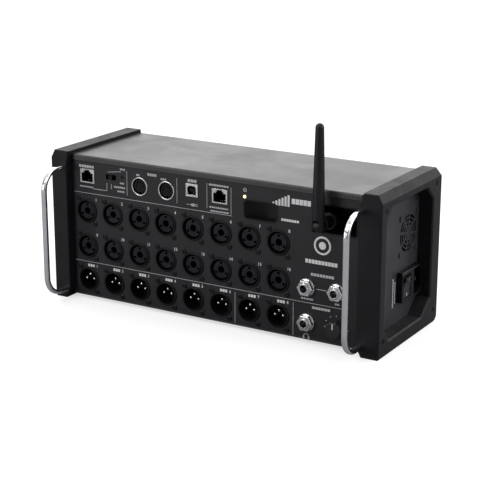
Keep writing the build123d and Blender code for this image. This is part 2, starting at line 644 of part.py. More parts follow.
def power_inlet():
    """Proud module body with the rocker's opening and the three-pole inlet cavity, chamfered at the earth side."""
    y0, y1, z0, z1 = INLET
    face_x = SIDE_X + INLET_PROUD
    plate = block(SIDE_X, face_x, y0, y1, z0, z1)
    plate = fillet(plate.edges().filter_by(Axis.X), 2.0)
    plate = chamfer(plate.faces().sort_by(Axis.X)[-1].edges(), 0.6)
    body = plate + block(face_x - INLET_DEPTH, SIDE_X + 0.1, y0 + 1.1, y1 - 1.1, z0 + 1.1, z1 - 1.1)
    body -= block(face_x - 12, face_x + 1, ROCKER_Y - ROCKER_HALF_Y, ROCKER_Y + ROCKER_HALF_Y,
                  INLET_Z - ROCKER_HALF_Z, INLET_Z + ROCKER_HALF_Z)
    half_y = SOCKET_HALF_Y
    half_z = SOCKET_HALF_Z
    corner = 4.0
    cavity = [(-half_y, -half_z), (half_y - corner, -half_z), (half_y, corner - half_z),
              (half_y, half_z - corner), (half_y - corner, half_z), (-half_y, half_z)]
    body -= outline_x([(SOCKET_Y + y, INLET_Z + z) for y, z in cavity], face_x - 16, face_x + 1)
    for y, z in inlet_pin_places():
        body -= block(face_x - INLET_DEPTH - 1, face_x - 15, y - 1.0, y + 1.0, z - 2, z + 2)
    return body


def inlet_pin_places():
    """Earth in the middle towards the chamfered side, live and neutral above and below."""
    return [(SOCKET_Y + 2, INLET_Z), (SOCKET_Y - 2, INLET_Z + 7), (SOCKET_Y - 2, INLET_Z - 7)]


def inlet_pin(y, z):
    face_x = SIDE_X + INLET_PROUD
    return block(face_x - INLET_DEPTH - 8, face_x - 3, y - 1.0, y + 1.0, z - 2, z + 2)


def power_rocker():
    """Concave rocker key that tips about its middle, resting with its lower half pressed."""
    pivot_x = SIDE_X + INLET_PROUD - 5
    shape = [(0, -9.4), (4.3, -9.6), (5.9, -9.2), (5.1, -4.5), (4.8, 0), (5.1, 4.5), (5.9, 9.2), (4.3, 9.6),
             (0, 9.4), (-3.5, 3), (-3.5, -3)]
    outline = Polyline([(x, 0, z) for x, z in shape], close=True)
    key = extrude(make_face(outline), ROCKER_HALF_Y - 0.3, dir=(0, 1, 0), both=True)
    return Pos(pivot_x, ROCKER_Y, INLET_Z) * Rot(0, ROCKER_TILT, 0) * key


def fan_frame():
    """Square fan housing with a round air tunnel and the motor's spokes."""
    x1 = WALL_IN
    x0 = x1 - FAN_DEPTH
    half = FAN_SIZE / 2
    frame = block(x0, x1, FAN_Y - half, FAN_Y + half, FAN_Z - half, FAN_Z + half)
    frame = fillet(frame.edges().filter_by(Axis.X), 3.0)
    frame -= bar_x(FAN_Y, FAN_Z, x0 - 1, x1 + 1, 18.6)
    for angle in (45, 135):
        arm = Pos(x0 + 1, FAN_Y, FAN_Z) * Rot(angle, 0, 0) * Box(2, FAN_SIZE - 1, 2.5)
        frame += arm
    frame += bar_x(FAN_Y, FAN_Z, x0, x0 + 2, 9.0)
    frame += bar_x(FAN_Y, FAN_Z, x0, x0 + 9, 1.5)
    for y, z in fan_screw_places():
        frame -= bar_x(y, z, x0 - 1, x1 + 1, 1.65)
    return frame


def fan_rotor():
    """Hub and seven pitched blades, turning on the frame's post."""
    x0 = WALL_IN - FAN_DEPTH
    hub = bar_x(FAN_Y, FAN_Z, x0 + 2.6, WALL_IN - 1.0, 8.6) - bar_x(FAN_Y, FAN_Z, x0, x0 + 10, 1.55)
    for i in range(7):
        blade = Pos(0, 0, 13) * Rot(0, 0, 38) * Box(1.2, 13.5, 10.0)
        turn = Pos(x0 + 8.2, FAN_Y, FAN_Z) * Rot(360 / 7 * i, 0, 0)
        hub += turn * blade
    return hub & bar_x(FAN_Y, FAN_Z, x0 + 2.6, WALL_IN - 0.8, 17.9)


def fan_screw(y, z):
    return bar_x(y, z, WALL_IN - FAN_DEPTH + 2, SIDE_X + 0.1, 1.55) + bar_x(y, z, SIDE_X, SIDE_X + 1.0, 2.2)


def input_board():
    """Upright board behind the three rows of connectors."""
    board = block(-149, 134, CONNECTOR_BACK_Y, CONNECTOR_BACK_Y + BOARD_T, 8.5, 96)
    return board - block(-150, -141, CONNECTOR_BACK_Y - 1, CONNECTOR_BACK_Y + 3, 0, 14)


def port_board():
    """Upright board behind the port strip."""
    return block(-147, 27, CONNECTOR_BACK_Y, CONNECTOR_BACK_Y + BOARD_T, 104, 131)


def deck_board(x0, x1):
    return block(x0, x1, -4, 60, DECK_Z, DECK_Z + BOARD_T)


def standoff_places():
    return [(x, y) for x in (-138, -50, 34, 56, 116) for y in (0, 56)]


def standoff(x, y):
    return bar_z(x, y, BODY_Z0 + SHEET, DECK_Z, 2.5)


def transformer():
    """Switching transformer: ferrite core with a wound bobbin between its legs."""
    x, y = 84, 40
    z0 = DECK_Z + BOARD_T
    core = block(x - 14, x + 14, y - 5, y + 5, z0, z0 + 24)
    return core + block(x - 10, x + 10, y - 11, y + 11, z0 + 3, z0 + 21)


def capacitor_places():
    return [(58, 20, 7.5, 28), (76, 14, 6, 24), (58, 44, 5, 18), (104, 14, 5, 12)]


def radio_module():
    """Screened radio module behind the antenna's well."""
    back = PANEL_Y + POCKET_DEPTH + 7.5
    board = block(ANTENNA_X - 16, ANTENNA_X + 16, back, back + BOARD_T, ANTENNA_Z - 10, ANTENNA_Z + 16)
    return board + block(ANTENNA_X - 12, ANTENNA_X + 12, back + BOARD_T, back + BOARD_T + 3,
                         ANTENNA_Z - 6, ANTENNA_Z + 13)


def heat_sink():
    """Extruded fins standing on the supply board."""
    z0 = DECK_Z + BOARD_T
    sink = block(108, 112, 22, 54, z0, z0 + 30)
    for i in range(7):
        y = 22 + i * 5.0
        sink += block(102, 108.1, y, y + 2, z0, z0 + 30)
    return sink


def main():
    os.makedirs("parts", exist_ok=True)
    ends = {"right": (RIGHT_END, lambda shape: shape), "left": (LEFT_END, mirrored)}
    save("chassis_tray", chassis_tray())
    save("top_cover", top_cover())
    save("front_panel", front_panel())
    for side, (end, place) in ends.items():
        save(f"{side}_bumper", place(bumper(end)))
        save(f"{side}_handle", place(handle(end)))
    save("bumper_screws", *[place(bumper_screw(FRONT_Y + y, z)) for _, place in ends.values()
                            for y, z in BUMPER_SCREWS])
    save("handle_screws", *[place(handle_screw(end, z)) for end, place in ends.values()
                            for z in handle_screw_heights()])
    save("cover_screws", *[cover_screw(x, z) for x, z in rear_screw_places()])
    save("connector_screws", *[panel_screw(*p) for c in all_connectors() for p in screw_places(*c)])

    for name, row_z in (("upper", ROW_UPPER_Z), ("lower", ROW_LOWER_Z)):
        save(f"combo_shells_{name}", *[connector_shell(x, z, CONNECTOR_BACK_Y) for x, z in grid(row_z)])
        save(f"combo_inserts_{name}", *[combo_insert(x, z) for x, z in grid(row_z)])
    outputs = grid(ROW_OUTPUT_Z)
    save("output_shells", *[connector_shell(x, z, CONNECTOR_BACK_Y) for x, z in outputs])
    save("output_inserts", *[output_insert(x, z) for x, z in outputs])
    save("output_pins", *[output_pin(px, pz) for x, z in outputs for px, pz in pin_places(x, z)])

    for side, (x, z) in zip(("left", "right"), LINE_JACKS):
        save(f"line_jack_{side}", jack_body(x, z))
    save("phones_jack", jack_body(*PHONES_JACK))
    save("jack_nuts", *[jack_nut(x, z) for x, z in LINE_JACKS + [PHONES_JACK]])
    save("midi_rings", *[midi_ring(x, z) for x, z in MIDI_SOCKETS])
    save("midi_inserts", *[midi_insert(x, z) for x, z in MIDI_SOCKETS])
    save("usb_shell", usb_shell(*USB_PORT))
    save("usb_tongue", usb_tongue(*USB_PORT))
    save("remote_port", port_shell(*REMOTE_PORT))
    save("network_port", port_shell(*NETWORK_PORT))
    ports = [REMOTE_PORT, NETWORK_PORT]
    save("port_liners", *[port_liner(x, z) for x, z in ports])
    save("port_contacts", *[port_contact(x - 3.5 + i, z) for x, z in ports for i in range(8)])
    save("mode_switch", mode_switch())
    save("mode_lever", mode_lever())
    save("reset_switch", reset_switch())
    save("reset_button", reset_button())
    save("power_led", power_led())
    save("volume_pot", volume_pot())
    save("volume_shaft", volume_shaft())
    save("volume_knob", volume_knob())

    save("antenna_pocket", antenna_pocket())
    save("antenna_rest", antenna_rest())
    save("antenna_jack", antenna_jack())
    save("antenna_base", antenna_base())
    save("antenna_pin", antenna_pin())
    save("antenna_rod", antenna_rod())

    save("power_inlet", power_inlet())
    save("inlet_pins", *[inlet_pin(y, z) for y, z in inlet_pin_places()])
    save("power_rocker", power_rocker())
    save("fan_frame", fan_frame())
    save("fan_rotor", fan_rotor())
    save("fan_screws", *[fan_screw(y, z) for y, z in fan_screw_places()])

    save("input_board", input_board())
    save("port_board", port_board())
    save("main_board", deck_board(-144, 42))
    save("supply_board", deck_board(48, 124))
    save("supply_transformer", transformer())
    save("supply_capacitors", *[bar_z(x, y, DECK_Z + BOARD_T, DECK_Z + BOARD_T + h, r)
                                for x, y, r, h in capacitor_places()])
    save("supply_heat_sink", heat_sink())
    save("radio_module", radio_module())
    save("board_standoffs", *[standoff(x, y) for x, y in standoff_places()])


main()
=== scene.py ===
import json
import math

import bmesh
import bpy
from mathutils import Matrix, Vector


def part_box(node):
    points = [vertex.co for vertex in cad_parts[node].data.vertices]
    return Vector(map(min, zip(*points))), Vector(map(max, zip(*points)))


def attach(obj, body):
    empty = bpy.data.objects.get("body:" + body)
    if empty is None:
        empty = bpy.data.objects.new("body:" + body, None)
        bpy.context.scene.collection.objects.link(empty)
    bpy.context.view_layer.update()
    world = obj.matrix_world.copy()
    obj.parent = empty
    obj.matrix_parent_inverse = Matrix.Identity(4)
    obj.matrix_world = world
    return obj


# Portable 18-input stagebox mixer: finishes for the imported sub-parts, the printed graphics, the room and the
# camera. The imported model, the room and the camera are in metres; the drawing sizes are in millimetres, and
# MM turns them into metres.

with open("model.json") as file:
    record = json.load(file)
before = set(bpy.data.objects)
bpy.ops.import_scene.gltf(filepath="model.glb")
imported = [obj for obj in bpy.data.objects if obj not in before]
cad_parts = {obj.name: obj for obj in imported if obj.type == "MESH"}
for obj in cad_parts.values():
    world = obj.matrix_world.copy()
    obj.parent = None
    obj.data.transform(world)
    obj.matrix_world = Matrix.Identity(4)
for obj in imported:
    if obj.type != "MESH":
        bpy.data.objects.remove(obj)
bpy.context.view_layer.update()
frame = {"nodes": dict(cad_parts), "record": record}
nodes = frame["nodes"]

MM = 0.001


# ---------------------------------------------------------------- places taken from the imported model

def middle(node):
    """Centre of a sub-part's box, in millimetres."""
    low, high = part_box(node)
    return (low + high) / 2 / MM


def mount_places(prefix):
    """Places of the record's mounts whose names start with prefix, in millimetres, in the order of names."""
    found = [m for m in frame["record"]["mounts"] if m["name"].startswith(prefix)]
    found.sort(key=lambda m: m["name"])
    return [Vector(m["pos_m"]) / MM for m in found]


PANEL_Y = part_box("front_panel")[0].y / MM
SIDE_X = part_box("chassis_tray")[1].x / MM
COMBO_JACKS = mount_places("combo_jack")
UPPER_ROW = COMBO_JACKS[:8]
LOWER_ROW = COMBO_JACKS[8:]
OUTPUT_Z = middle("output_inserts").z
LINE_LEFT = middle("line_jack_left")
LINE_RIGHT = middle("line_jack_right")
PHONES = middle("phones_jack")
VOLUME = middle("volume_knob")
REMOTE = middle("remote_port")
NETWORK = middle("network_port")
USB = middle("usb_shell")
LED = middle("power_led")
LEVER = middle("mode_lever")
RESET = middle("reset_button")


# ---------------------------------------------------------------- shader groups shared by the finishes

def new_group(name, inputs, outputs):
    """Shader group with float inputs, given as name and usual value, and named outputs."""
    made = bpy.data.node_groups.new(name, "ShaderNodeTree")
    for label, usual in inputs.items():
        socket = made.interface.new_socket(name=label, in_out="INPUT", socket_type="NodeSocketFloat")
        socket.default_value = usual
    for label in outputs:
        made.interface.new_socket(name=label, in_out="OUTPUT", socket_type="NodeSocketFloat")
    return made, made.nodes.new("NodeGroupInput"), made.nodes.new("NodeGroupOutput")


def add_node(tree, kind, settings=None, **values):
    """New shader node with its settings, and values for its named inputs: a number, or a socket to join."""
    made = tree.nodes.new(kind)
    for label, value in (settings or {}).items():
        setattr(made, label, value)
    for label, value in values.items():
        socket = made.inputs[label]
        if isinstance(value, bpy.types.NodeSocket):
            tree.links.new(value, socket)
        else:
            socket.default_value = value
    return made


def add_math(tree, operation, first, second, clamp=False):
    """Math node over two values or sockets; returns its output."""
    made = tree.nodes.new("ShaderNodeMath")
    made.operation = operation
    made.use_clamp = clamp
    for socket, value in zip(made.inputs, (first, second)):
        if isinstance(value, bpy.types.NodeSocket):
            tree.links.new(value, socket)
        else:
            socket.default_value = value
    return made.outputs[0]


def add_range(tree, value, low, high, to_low=0.0, to_high=1.0):
    """Map Range node, clamped; returns its output."""
    made = add_node(tree, "ShaderNodeMapRange", {"interpolation_type": "SMOOTHSTEP"})
    for label, number in (("From Min", low), ("From Max", high), ("To Min", to_low), ("To Max", to_high)):
        if isinstance(number, bpy.types.NodeSocket):
            tree.links.new(number, made.inputs[label])
        else:
            made.inputs[label].default_value = number
    tree.links.new(value, made.inputs["Value"])
    return made.outputs["Result"]


def build_mould_grain():
    """Spark-eroded grain: fine height, and slow patches of tone. Grain is its size in millimetres."""
    tree, given, out = new_group("mould_grain", {"Grain": 0.5}, ("Height", "Patches"))
    place = tree.nodes.new("ShaderNodeTexCoord").outputs["Object"]
    per_metre = add_math(tree, "DIVIDE", 1000.0, given.outputs["Grain"])
    pebble = add_node(tree, "ShaderNodeTexVoronoi", {"feature": "SMOOTH_F1"}, Vector=place, Scale=per_metre,
                      Smoothness=0.8)
    speck = add_node(tree, "ShaderNodeTexNoise", Vector=place, Scale=per_metre, Detail=3.0)
    both = add_math(tree, "ADD", pebble.outputs["Distance"], speck.outputs["Fac"])
    tree.links.new(both, out.inputs["Height"])
    cloud = add_node(tree, "ShaderNodeTexNoise", Vector=place, Scale=38.0, Detail=4.0, Roughness=0.6)
    tree.links.new(add_range(tree, cloud.outputs["Fac"], 0.3, 0.7), out.inputs["Patches"])


def build_edge_rub():
    """Mask of the edges that hands and vans rub, broken up by noise. Reach is the width in millimetres."""
    tree, given, out = new_group("edge_rub", {"Reach": 0.8, "Breakup": 0.5}, ("Mask",))
    reach = add_math(tree, "MULTIPLY", given.outputs["Reach"], MM)
    rounded = add_node(tree, "ShaderNodeBevel", {"samples": 6}, Radius=reach)
    flat = tree.nodes.new("ShaderNodeNewGeometry").outputs["Normal"]
    compare = add_node(tree, "ShaderNodeVectorMath", {"operation": "DOT_PRODUCT"})
    tree.links.new(rounded.outputs["Normal"], compare.inputs[0])
    tree.links.new(flat, compare.inputs[1])
    edge = add_range(tree, compare.outputs["Value"], 0.98, 0.80)
    place = tree.nodes.new("ShaderNodeTexCoord").outputs["Object"]
    chips = add_node(tree, "ShaderNodeTexNoise", Vector=place, Scale=420.0, Detail=5.0, Roughness=0.7)
    broken = add_range(tree, chips.outputs["Fac"], given.outputs["Breakup"], 0.75)
    tree.links.new(add_math(tree, "MULTIPLY", edge, broken), out.inputs["Mask"])


def build_settled_dust():
    """Mask of the dust that settles on faces that look up, thicker in drifts."""
    tree, given, out = new_group("settled_dust", {"Amount": 0.3}, ("Mask",))
    normal = tree.nodes.new("ShaderNodeNewGeometry").outputs["Normal"]
    parts = tree.nodes.new("ShaderNodeSeparateXYZ")
    tree.links.new(normal, parts.inputs[0])
    upward = add_range(tree, parts.outputs["Z"], 0.45, 1.0)
    place = tree.nodes.new("ShaderNodeTexCoord").outputs["Object"]
    drift = add_node(tree, "ShaderNodeTexNoise", Vector=place, Scale=22.0, Detail=7.0, Roughness=0.65)
    specks = add_node(tree, "ShaderNodeTexNoise", Vector=place, Scale=900.0, Detail=2.0)
    cover = add_math(tree, "MULTIPLY", add_range(tree, drift.outputs["Fac"], 0.35, 0.75),
                     add_range(tree, specks.outputs["Fac"], 0.3, 0.65))
    amount = add_math(tree, "MULTIPLY", cover, given.outputs["Amount"])
    tree.links.new(add_math(tree, "MULTIPLY", upward, amount), out.inputs["Mask"])


def build_handled_sheen():
    """Roughness that wanders between Matt and Worn, as touched and wiped surfaces do."""
    tree, given, out = new_group("handled_sheen", {"Matt": 0.5, "Worn": 0.35, "Spread": 30.0}, ("Roughness",))
    place = tree.nodes.new("ShaderNodeTexCoord").outputs["Object"]
    smear = add_node(tree, "ShaderNodeTexNoise", Vector=place, Scale=given.outputs["Spread"], Detail=6.0,
                     Roughness=0.62, Distortion=0.6)
    value = add_range(tree, smear.outputs["Fac"], 0.32, 0.68, given.outputs["Matt"], given.outputs["Worn"])
    tree.links.new(value, out.inputs["Roughness"])


def build_turned_lines():
    """Fine lines that a polishing wheel or a die leaves, running along X, Y or Z by the stretch values."""
    inputs = {"Along X": 1.0, "Along Y": 1.0, "Along Z": 1.0}
    tree, given, out = new_group("turned_lines", inputs, ("Height", "Streaks"))
    place = tree.nodes.new("ShaderNodeTexCoord").outputs["Object"]
    stretch = tree.nodes.new("ShaderNodeCombineXYZ")
    for axis in "XYZ":
        tree.links.new(given.outputs["Along " + axis], stretch.inputs[axis])
    scaled = add_node(tree, "ShaderNodeVectorMath", {"operation": "MULTIPLY"})
    tree.links.new(place, scaled.inputs[0])
    tree.links.new(stretch.outputs[0], scaled.inputs[1])
    fine = add_node(tree, "ShaderNodeTexNoise", Vector=scaled.outputs[0], Scale=2600.0, Detail=4.0)
    broad = add_node(tree, "ShaderNodeTexNoise", Vector=scaled.outputs[0], Scale=260.0, Detail=3.0)
    tree.links.new(fine.outputs["Fac"], out.inputs["Height"])
    tree.links.new(add_range(tree, broad.outputs["Fac"], 0.35, 0.65), out.inputs["Streaks"])


build_mould_grain()
build_edge_rub()
build_settled_dust()
build_handled_sheen()
build_turned_lines()


# ---------------------------------------------------------------- finishes

class Finish:
    """One material, its shader, and the joins that the finishes here share."""

    def __init__(self, name, **shader_values):
        self.material = bpy.data.materials.new(name)
        self.material.use_nodes = True
        self.tree = self.material.node_tree
        self.shader = next(n for n in self.tree.nodes if n.type == "BSDF_PRINCIPLED")
        for label, value in shader_values.items():
            self.shader.inputs[label.replace("_", " ")].default_value = value

    def group(self, name, **values):
        """Places a shared shader group with this finish's own values."""
        made = self.tree.nodes.new("ShaderNodeGroup")
        made.node_tree = bpy.data.node_groups[name]
        for label, value in values.items():
            made.inputs[label.replace("_", " ")].default_value = value
        return made.outputs

    def mix(self, mask, under, over):
        """Colour that goes from under to over by the mask; returns its socket."""
        made = add_node(self.tree, "ShaderNodeMix", {"data_type": "RGBA"})
        self.tree.links.new(mask, made.inputs[0])
        for socket, colour in ((made.inputs[6], under), (made.inputs[7], over)):
            if isinstance(colour, bpy.types.NodeSocket):
                self.tree.links.new(colour, socket)
            else:
                socket.default_value = (*colour, 1.0)
        return made.outputs[2]

    def feed(self, label, socket):
        self.tree.links.new(socket, self.shader.inputs[label])

    def relief(self, height, depth_mm, strength=1.0, round_mm=0.0):
        """Bump from a height, over edges that the eye sees as rounded by round_mm."""
        bump = add_node(self.tree, "ShaderNodeBump", Height=height, Strength=strength, Distance=depth_mm * MM)
        if round_mm:
            soft = add_node(self.tree, "ShaderNodeBevel", {"samples": 6}, Radius=round_mm * MM)
            self.tree.links.new(soft.outputs["Normal"], bump.inputs["Normal"])
        self.feed("Normal", bump.outputs["Normal"])


def lighter(colour, by):
    return tuple(min(1.0, c * by) for c in colour)


DUST = (0.34, 0.32, 0.30)
BARE_STEEL = (0.42, 0.42, 0.44)
STAIN = (0.912, 0.896, 0.88)
DIE_LINE_DEPTH = 0.004


def moulding(name, colour, matt, worn, grain, depth, ior=1.45, rub=0.25, round_mm=0.35, dust=0.12):
    """Moulded plastic or rubber: grain, uneven tone, rubbed edges and a little dust."""
    made = Finish(name, IOR=ior)
    skin = made.group("mould_grain", Grain=grain)
    tone = made.mix(skin["Patches"], lighter(colour, 0.8), lighter(colour, 1.25))
    edge = made.group("edge_rub", Reach=0.9, Breakup=0.7 - rub)["Mask"]
    rubbed = made.mix(edge, tone, lighter(colour, 3.2))
    dusty = made.mix(made.group("settled_dust", Amount=dust)["Mask"], rubbed, DUST)
    made.feed("Base Color", dusty)
    made.feed("Roughness", made.group("handled_sheen", Matt=matt, Worn=worn)["Roughness"])
    made.relief(skin["Height"], depth, round_mm=round_mm)
    return made.material


def painted_steel(name, colour, matt, worn, peel, depth, ior=1.45, dust=0.15):
    """Powder coat or paint on sheet steel: orange peel, wiped sheen, rubbed edges and dust."""
    made = Finish(name, IOR=ior)
    skin = made.group("mould_grain", Grain=peel)
    tone = made.mix(skin["Patches"], lighter(colour, 0.85), lighter(colour, 1.2))
    edge = made.group("edge_rub", Reach=0.5, Breakup=0.6)["Mask"]
    rubbed = made.mix(edge, tone, lighter(BARE_STEEL, 0.35))
    dusty = made.mix(made.group("settled_dust", Amount=dust)["Mask"], rubbed, DUST)
    made.feed("Base Color", dusty)
    made.feed("Roughness", made.group("handled_sheen", Matt=matt, Worn=worn, Spread=14.0)["Roughness"])
    made.relief(skin["Height"], depth, round_mm=0.4)
    return made.material


def plated_metal(name, colour, matt, worn, lines=(1.0, 1.0, 1.0)):
    """Plated or bare metal: die or wheel lines, faint stains and wiped sheen."""
    made = Finish(name, Metallic=1.0)
    marks = made.group("turned_lines", Along_X=lines[0], Along_Y=lines[1], Along_Z=lines[2])
    tone = made.mix(marks["Streaks"], colour, lighter(colour, 0.88))
    spots = made.group("mould_grain", Grain=1.6)["Patches"]
    made.feed("Base Color", made.mix(spots, tone, [c * s for c, s in zip(colour, STAIN)]))
    made.feed("Roughness", made.group("handled_sheen", Matt=matt, Worn=worn, Spread=60.0)["Roughness"])
    made.relief(marks["Height"], DIE_LINE_DEPTH, round_mm=0.15)
    return made.material


def bow_chrome():
    """Bright chrome plate, polished round the bow, with the faintest polishing lines and finger haze."""
    made = Finish("bow_chrome", Metallic=1.0)
    marks = made.group("turned_lines", Along_X=1.0, Along_Y=0.05, Along_Z=0.05)
    haze = made.group("mould_grain", Grain=2.0)["Patches"]
    made.feed("Base Color", made.mix(haze, (0.80, 0.79, 0.82), (0.72, 0.71, 0.74)))
    made.feed("Roughness", made.group("handled_sheen", Matt=0.16, Worn=0.08, Spread=45.0)["Roughness"])
    made.relief(marks["Height"], 0.002)
    return made.material


def light_lens():
    """Lit warm white lens, its glow wandering in slow patches between two warm tones."""
    made = Finish("light_lens", IOR=1.49, Emission_Strength=1.6, Roughness=0.2)
    skin = made.group("mould_grain", Grain=0.6)
    glow = made.mix(skin["Patches"], (1.0, 0.62, 0.30), (1.0, 0.78, 0.50))
    made.feed("Emission Color", glow)
    made.feed("Base Color", glow)
    made.relief(skin["Height"], 0.01)
    return made.material


def circuit_board():
    """Green solder mask with buried copper tracks that run both ways, and bare pads."""
    made = Finish("circuit_board", IOR=1.5, Roughness=0.3)
    tree = made.tree
    place = tree.nodes.new("ShaderNodeTexCoord").outputs["Object"]
    tracks = add_node(tree, "ShaderNodeTexBrick", Vector=place, Scale=60.0)
    tracks.inputs["Mortar Size"].default_value = 0.018
    pads = add_node(tree, "ShaderNodeTexVoronoi", Vector=place, Scale=260.0)
    mask = made.mix(tracks.outputs["Fac"], (0.012, 0.075, 0.03), (0.03, 0.16, 0.06))
    spot = add_range(tree, pads.outputs["Distance"], 0.16, 0.10)
    made.feed("Base Color", made.mix(spot, mask, (0.62, 0.60, 0.52)))
    made.feed("Metallic", spot)
    made.relief(tracks.outputs["Fac"], 0.03)
    return made.material


def ferrite():
    """Sintered core: dark, dry and finely pitted, with chipped edges."""
    made = Finish("ferrite", IOR=1.5)
    skin = made.group("mould_grain", Grain=0.3)
    tone = made.mix(skin["Patches"], (0.05, 0.045, 0.04), (0.10, 0.09, 0.075))
    chip = made.group("edge_rub", Reach=0.6, Breakup=0.4)["Mask"]
    made.feed("Base Color", made.mix(chip, tone, (0.2, 0.19, 0.18)))
    made.feed("Roughness", made.group("handled_sheen", Matt=0.8, Worn=0.6)["Roughness"])
    made.relief(skin["Height"], 0.05)
    return made.material


def capacitor_sleeve():
    """Shrunk dark blue sleeve with fine vertical creases."""
    made = Finish("capacitor_sleeve", IOR=1.5)
    marks = made.group("turned_lines", Along_X=0.6, Along_Y=0.6, Along_Z=0.03)
    made.feed("Base Color", made.mix(marks["Streaks"], (0.012, 0.016, 0.05), (0.02, 0.028, 0.085)))
    made.feed("Roughness", made.group("handled_sheen", Matt=0.4, Worn=0.25)["Roughness"])
    made.relief(marks["Height"], 0.02)
    return made.material


def printed_ink(name, colour):
    """Screen-printed ink: a thin film, thinner in specks where the panel's grain shows through."""
    made = Finish(name, IOR=1.45)
    skin = made.group("mould_grain", Grain=0.12)
    made.feed("Base Color", made.mix(skin["Patches"], lighter(colour, 0.86), colour))
    made.feed("Roughness", made.group("handled_sheen", Matt=0.6, Worn=0.45)["Roughness"])
    made.relief(skin["Height"], 0.006)
    return made.material


def build_finishes():
    """Every finish of the record's slots, by slot name."""
    painted = (
        ("cover_steel", (0.020, 0.020, 0.021), dict(matt=0.46, worn=0.36, peel=0.9, depth=0.010, ior=1.50)),
        ("chassis_steel", (0.024, 0.022, 0.027), dict(matt=0.50, worn=0.40, peel=0.8, depth=0.012, ior=1.36)),
        ("panel_paint", (0.0082, 0.0074, 0.0092),
         dict(matt=0.52, worn=0.42, peel=0.45, depth=0.008, ior=1.38, dust=0.02)),
    )
    moulded = (
        ("bumper_moulding", (0.0058, 0.0054, 0.0070),
         dict(matt=0.60, worn=0.48, grain=0.55, depth=0.035, ior=1.28)),
        ("connector_housing", (0.0035, 0.0033, 0.0042),
         dict(matt=0.42, worn=0.30, grain=0.3, depth=0.010, ior=1.28, rub=0.15, round_mm=0.2, dust=0.01)),
        ("connector_core", (0.0058, 0.0050, 0.0090),
         dict(matt=0.40, worn=0.28, grain=0.3, depth=0.008, ior=1.32, rub=0.15, round_mm=0.2, dust=0.01)),
        ("socket_liner", (0.0032, 0.0030, 0.0038),
         dict(matt=0.34, worn=0.24, grain=0.4, depth=0.006, ior=1.28, round_mm=0.15, dust=0.01)),
        ("switch_plastic", (0.005, 0.005, 0.006),
         dict(matt=0.45, worn=0.32, grain=0.4, depth=0.010, ior=1.35, round_mm=0.2, dust=0.02)),
        ("knob_plastic", (0.010, 0.010, 0.011),
         dict(matt=0.45, worn=0.30, grain=0.35, depth=0.012, rub=0.35, dust=0.05)),
        ("well_moulding", (0.0040, 0.0038, 0.0048),
         dict(matt=0.50, worn=0.38, grain=0.5, depth=0.015, ior=1.30, dust=0.02)),
        ("aerial_rubber", (0.006, 0.0055, 0.0075),
         dict(matt=0.48, worn=0.34, grain=0.6, depth=0.008, ior=1.32, rub=0.1, dust=0.05)),
        ("inlet_plastic", (0.0030, 0.0026, 0.0038),
         dict(matt=0.40, worn=0.30, grain=0.5, depth=0.010, ior=1.27, dust=0.02)),
        ("rocker_plastic", (0.0055, 0.0050, 0.0068),
         dict(matt=0.30, worn=0.20, grain=0.6, depth=0.005, ior=1.38, dust=0.02)),
        ("fan_plastic", (0.010, 0.010, 0.010), dict(matt=0.42, worn=0.32, grain=0.6, depth=0.010, dust=0.25)),
    )
    plated = (
        ("black_screws", (0.030, 0.029, 0.034), dict(matt=0.45, worn=0.32)),
        ("plated_screws", (0.60, 0.60, 0.58), dict(matt=0.40, worn=0.28)),
        ("silver_contacts", (0.80, 0.79, 0.76), dict(matt=0.24, worn=0.14, lines=(0.2, 1.0, 0.2))),
        ("gold_contacts", (0.86, 0.62, 0.26), dict(matt=0.26, worn=0.16)),
        ("jack_nickel", (0.70, 0.70, 0.71), dict(matt=0.28, worn=0.18, lines=(0.2, 1.0, 0.2))),
        ("nut_nickel", (0.72, 0.72, 0.73), dict(matt=0.30, worn=0.18, lines=(0.2, 1.0, 0.2))),
        ("socket_steel", (0.64, 0.64, 0.63), dict(matt=0.36, worn=0.24, lines=(0.1, 0.1, 1.0))),
        ("pot_metal", (0.52, 0.52, 0.51), dict(matt=0.42, worn=0.30)),
        ("aerial_brass", (0.78, 0.58, 0.28), dict(matt=0.28, worn=0.18)),
        ("sink_aluminium", (0.62, 0.62, 0.63), dict(matt=0.45, worn=0.35, lines=(1.0, 1.0, 0.03))),
        ("radio_can", (0.66, 0.66, 0.66), dict(matt=0.38, worn=0.26)),
    )
    made = {}
    for maker, family in ((painted_steel, painted), (moulding, moulded), (plated_metal, plated)):
        for name, colour, values in family:
            made[name] = maker(name, colour, **values)
    for maker in (bow_chrome, light_lens, circuit_board, ferrite, capacitor_sleeve):
        made[maker.__name__] = maker()
    return made


def dress_packed_parts(finishes):
    """Gives each packed sub-part the finish of its slot in the record."""
    for part in frame["record"]["subparts"]:
        skin = nodes[part["node"]].data
        for index in range(len(skin.materials)):
            skin.materials[index] = finishes[part["material_slot"]]


# ---------------------------------------------------------------- printed graphics

INK_T = 0.07
INK_SINK = 0.04
LINE_W = 0.5
RULE_W = 0.4
BLOCK_GAP = 0.45


